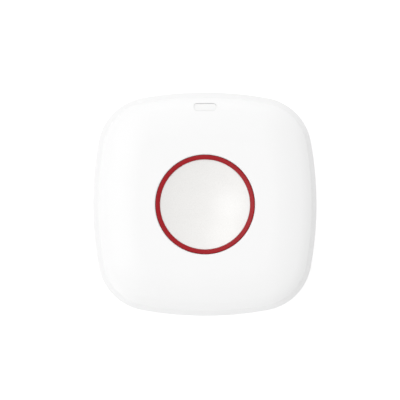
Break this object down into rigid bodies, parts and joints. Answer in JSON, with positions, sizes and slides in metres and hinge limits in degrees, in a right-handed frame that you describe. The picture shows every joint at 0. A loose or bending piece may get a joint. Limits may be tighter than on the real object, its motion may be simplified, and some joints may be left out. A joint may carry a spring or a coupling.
{
  "type": "wireless panic button",
  "caption": "Bowed square wall-mounted call button with a dished push cap in a red ring, a status window, a coin cell behind a turn-open door and a twist-off mounting plate.",
  "frame": {"origin": "middle of the mounting plate's back face, where it meets the wall", "axes": "+Z out of the front face, +Y towards the status window, +X to the right seen from the front"},
  "size_m": [0.06, 0.06, 0.018],
  "materials": {
    "shell": "fine moulded satin",
    "cap": "satin",
    "ring": "satin red",
    "lens": "milky clear",
    "seal": "matte",
    "steel": "bright",
    "cell": "bright",
    "contact": "bright",
    "board": "satin green",
    "dark_plastic": "matte",
    "ceramic": "matte"
  },
  "bodies": {
    "housing": {"front_cover": "shell", "rear_housing": "shell", "case_screws": "steel", "coin_cell": "cell", "battery_plus_contact": "contact", "battery_minus_contact": "contact", "circuit_board": "board", "board_screws": "steel", "switch_base": "dark_plastic", "switch_terminals": "steel", "switch_dome": "contact", "switch_frame": "steel", "return_spring": "steel", "light_pipe": "lens", "status_led": "lens", "radio_shield": "steel", "antenna_coil": "contact", "microcontroller": "dark_plastic", "timing_crystal": "steel", "chip_capacitors": "ceramic", "chip_resistors": "dark_plastic"},
    "button": {"button_cap": "cap", "button_ring": "ring", "button_carrier": "cap"},
    "stem": {"switch_stem": "dark_plastic"},
    "plate": {"mounting_plate": "shell"},
    "door": {"battery_door": "shell", "door_seal": "seal"}
  },
  "joints": [
    {"name": "button_press", "type": "slide", "parent": "housing", "child": "button", "axis": [0, 0, -1], "range_m": [0, 0.001], "stiffness_N_per_m": 800, "springref_m": -0.003, "deforming": ["return_spring", "switch_dome"]},
    {"name": "stem_press", "type": "slide", "parent": "housing", "child": "stem", "axis": [0, 0, -1], "range_m": [0, 0.001]},
    {"name": "plate_twist", "type": "hinge", "parent": "housing", "child": "plate", "pos_m": [0, 0, 0], "axis": [0, 0, -1], "range_deg": [0, 20]},
    {"name": "door_turn", "type": "hinge", "parent": "housing", "child": "door", "pos_m": [0, 0, 0], "axis": [0, 0, -1], "range_deg": [0, 40]}
  ],
  "couplings": [
    {"joint": "stem_press", "follows": "button_press", "ratio": 1}
  ]
}
